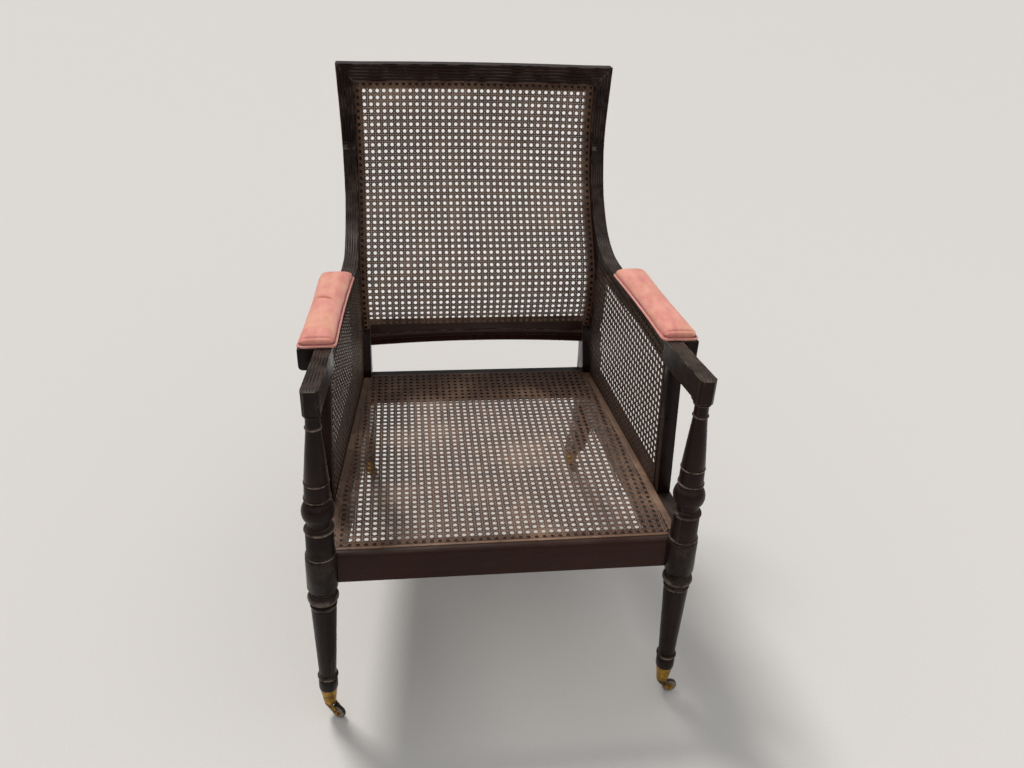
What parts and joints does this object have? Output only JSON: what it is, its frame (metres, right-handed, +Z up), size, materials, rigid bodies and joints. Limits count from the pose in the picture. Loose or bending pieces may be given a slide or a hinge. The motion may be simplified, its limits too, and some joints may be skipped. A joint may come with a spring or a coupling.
{
  "type": "cane back armchair",
  "caption": "Armchair with a scrolled cane back, cane seat and cane sides, turned front legs that carry the arms, padded armrests and swivelling brass castors.",
  "frame": {"origin": "middle of the footprint on the floor, under the chair", "axes": "+X to the right of the chair as seen from the front, +Y to the back, +Z up; the sitter faces -Y"},
  "size_m": [0.6295, 0.776, 0.938],
  "materials": {
    "dark_wood": "old dark polish, worn on the edges",
    "cane": "stained woven cane",
    "pad_velvet": "faded velvet",
    "piping": "velvet covered cord",
    "castor_brass": "dull cast brass",
    "castor_wheel": "worn and dirty"
  },
  "bodies": {
    "frame": {"back_stile_left": "dark_wood", "back_stile_right": "dark_wood", "top_rail": "dark_wood", "lower_back_rail": "dark_wood", "rear_seat_rail": "dark_wood", "front_seat_rail": "dark_wood", "side_seat_rail_left": "dark_wood", "side_seat_rail_right": "dark_wood", "front_leg_left": "dark_wood", "front_leg_right": "dark_wood", "arm_left": "dark_wood", "arm_right": "dark_wood", "arm_board_left": "dark_wood", "arm_board_right": "dark_wood", "side_post_left": "dark_wood", "side_post_right": "dark_wood", "back_cane": "cane", "seat_cane": "cane", "side_cane_left": "cane", "side_cane_right": "cane", "arm_pad_left": "pad_velvet", "arm_pad_right": "pad_velvet", "pad_piping_left": "piping", "pad_piping_right": "piping", "castor_cup_front_left": "castor_brass", "castor_cup_front_right": "castor_brass", "castor_cup_rear_left": "castor_brass", "castor_cup_rear_right": "castor_brass"},
    "swivel_front_left": {"castor_horn_front_left": "castor_brass", "castor_axle_front_left": "castor_brass"},
    "wheel_front_left": {"castor_wheel_front_left": "castor_wheel"},
    "swivel_front_right": {"castor_horn_front_right": "castor_brass", "castor_axle_front_right": "castor_brass"},
    "wheel_front_right": {"castor_wheel_front_right": "castor_wheel"},
    "swivel_rear_left": {"castor_horn_rear_left": "castor_brass", "castor_axle_rear_left": "castor_brass"},
    "wheel_rear_left": {"castor_wheel_rear_left": "castor_wheel"},
    "swivel_rear_right": {"castor_horn_rear_right": "castor_brass", "castor_axle_rear_right": "castor_brass"},
    "wheel_rear_right": {"castor_wheel_rear_right": "castor_wheel"}
  },
  "joints": [
    {"name": "castor_swivel_front_left", "type": "hinge", "parent": "frame", "child": "swivel_front_left", "pos_m": [-0.29114, -0.363, 0.0337], "axis": [0, 0, 1], "continuous": true},
    {"name": "castor_roll_front_left", "type": "hinge", "parent": "swivel_front_left", "child": "wheel_front_left", "pos_m": [-0.27771, -0.37075, 0.0128], "axis": [0.5, 0.866, 0], "continuous": true},
    {"name": "castor_swivel_front_right", "type": "hinge", "parent": "frame", "child": "swivel_front_right", "pos_m": [0.29114, -0.363, 0.0337], "axis": [0, 0, 1], "continuous": true},
    {"name": "castor_roll_front_right", "type": "hinge", "parent": "swivel_front_right", "child": "wheel_front_right", "pos_m": [0.30664, -0.363, 0.0128], "axis": [0, 1, 0], "continuous": true},
    {"name": "castor_swivel_rear_left", "type": "hinge", "parent": "frame", "child": "swivel_rear_left", "pos_m": [-0.24, 0.297, 0.0337], "axis": [0, 0, 1], "continuous": true},
    {"name": "castor_roll_rear_left", "type": "hinge", "parent": "swivel_rear_left", "child": "wheel_rear_left", "pos_m": [-0.23272, 0.31069, 0.0128], "axis": [-0.8829, 0.4695, 0], "continuous": true},
    {"name": "castor_swivel_rear_right", "type": "hinge", "parent": "frame", "child": "swivel_rear_right", "pos_m": [0.24, 0.297, 0.0337], "axis": [0, 0, 1], "continuous": true},
    {"name": "castor_roll_rear_right", "type": "hinge", "parent": "swivel_rear_right", "child": "wheel_rear_right", "pos_m": [0.2527, 0.30589, 0.0128], "axis": [-0.5736, 0.8192, 0], "continuous": true}
  ]
}
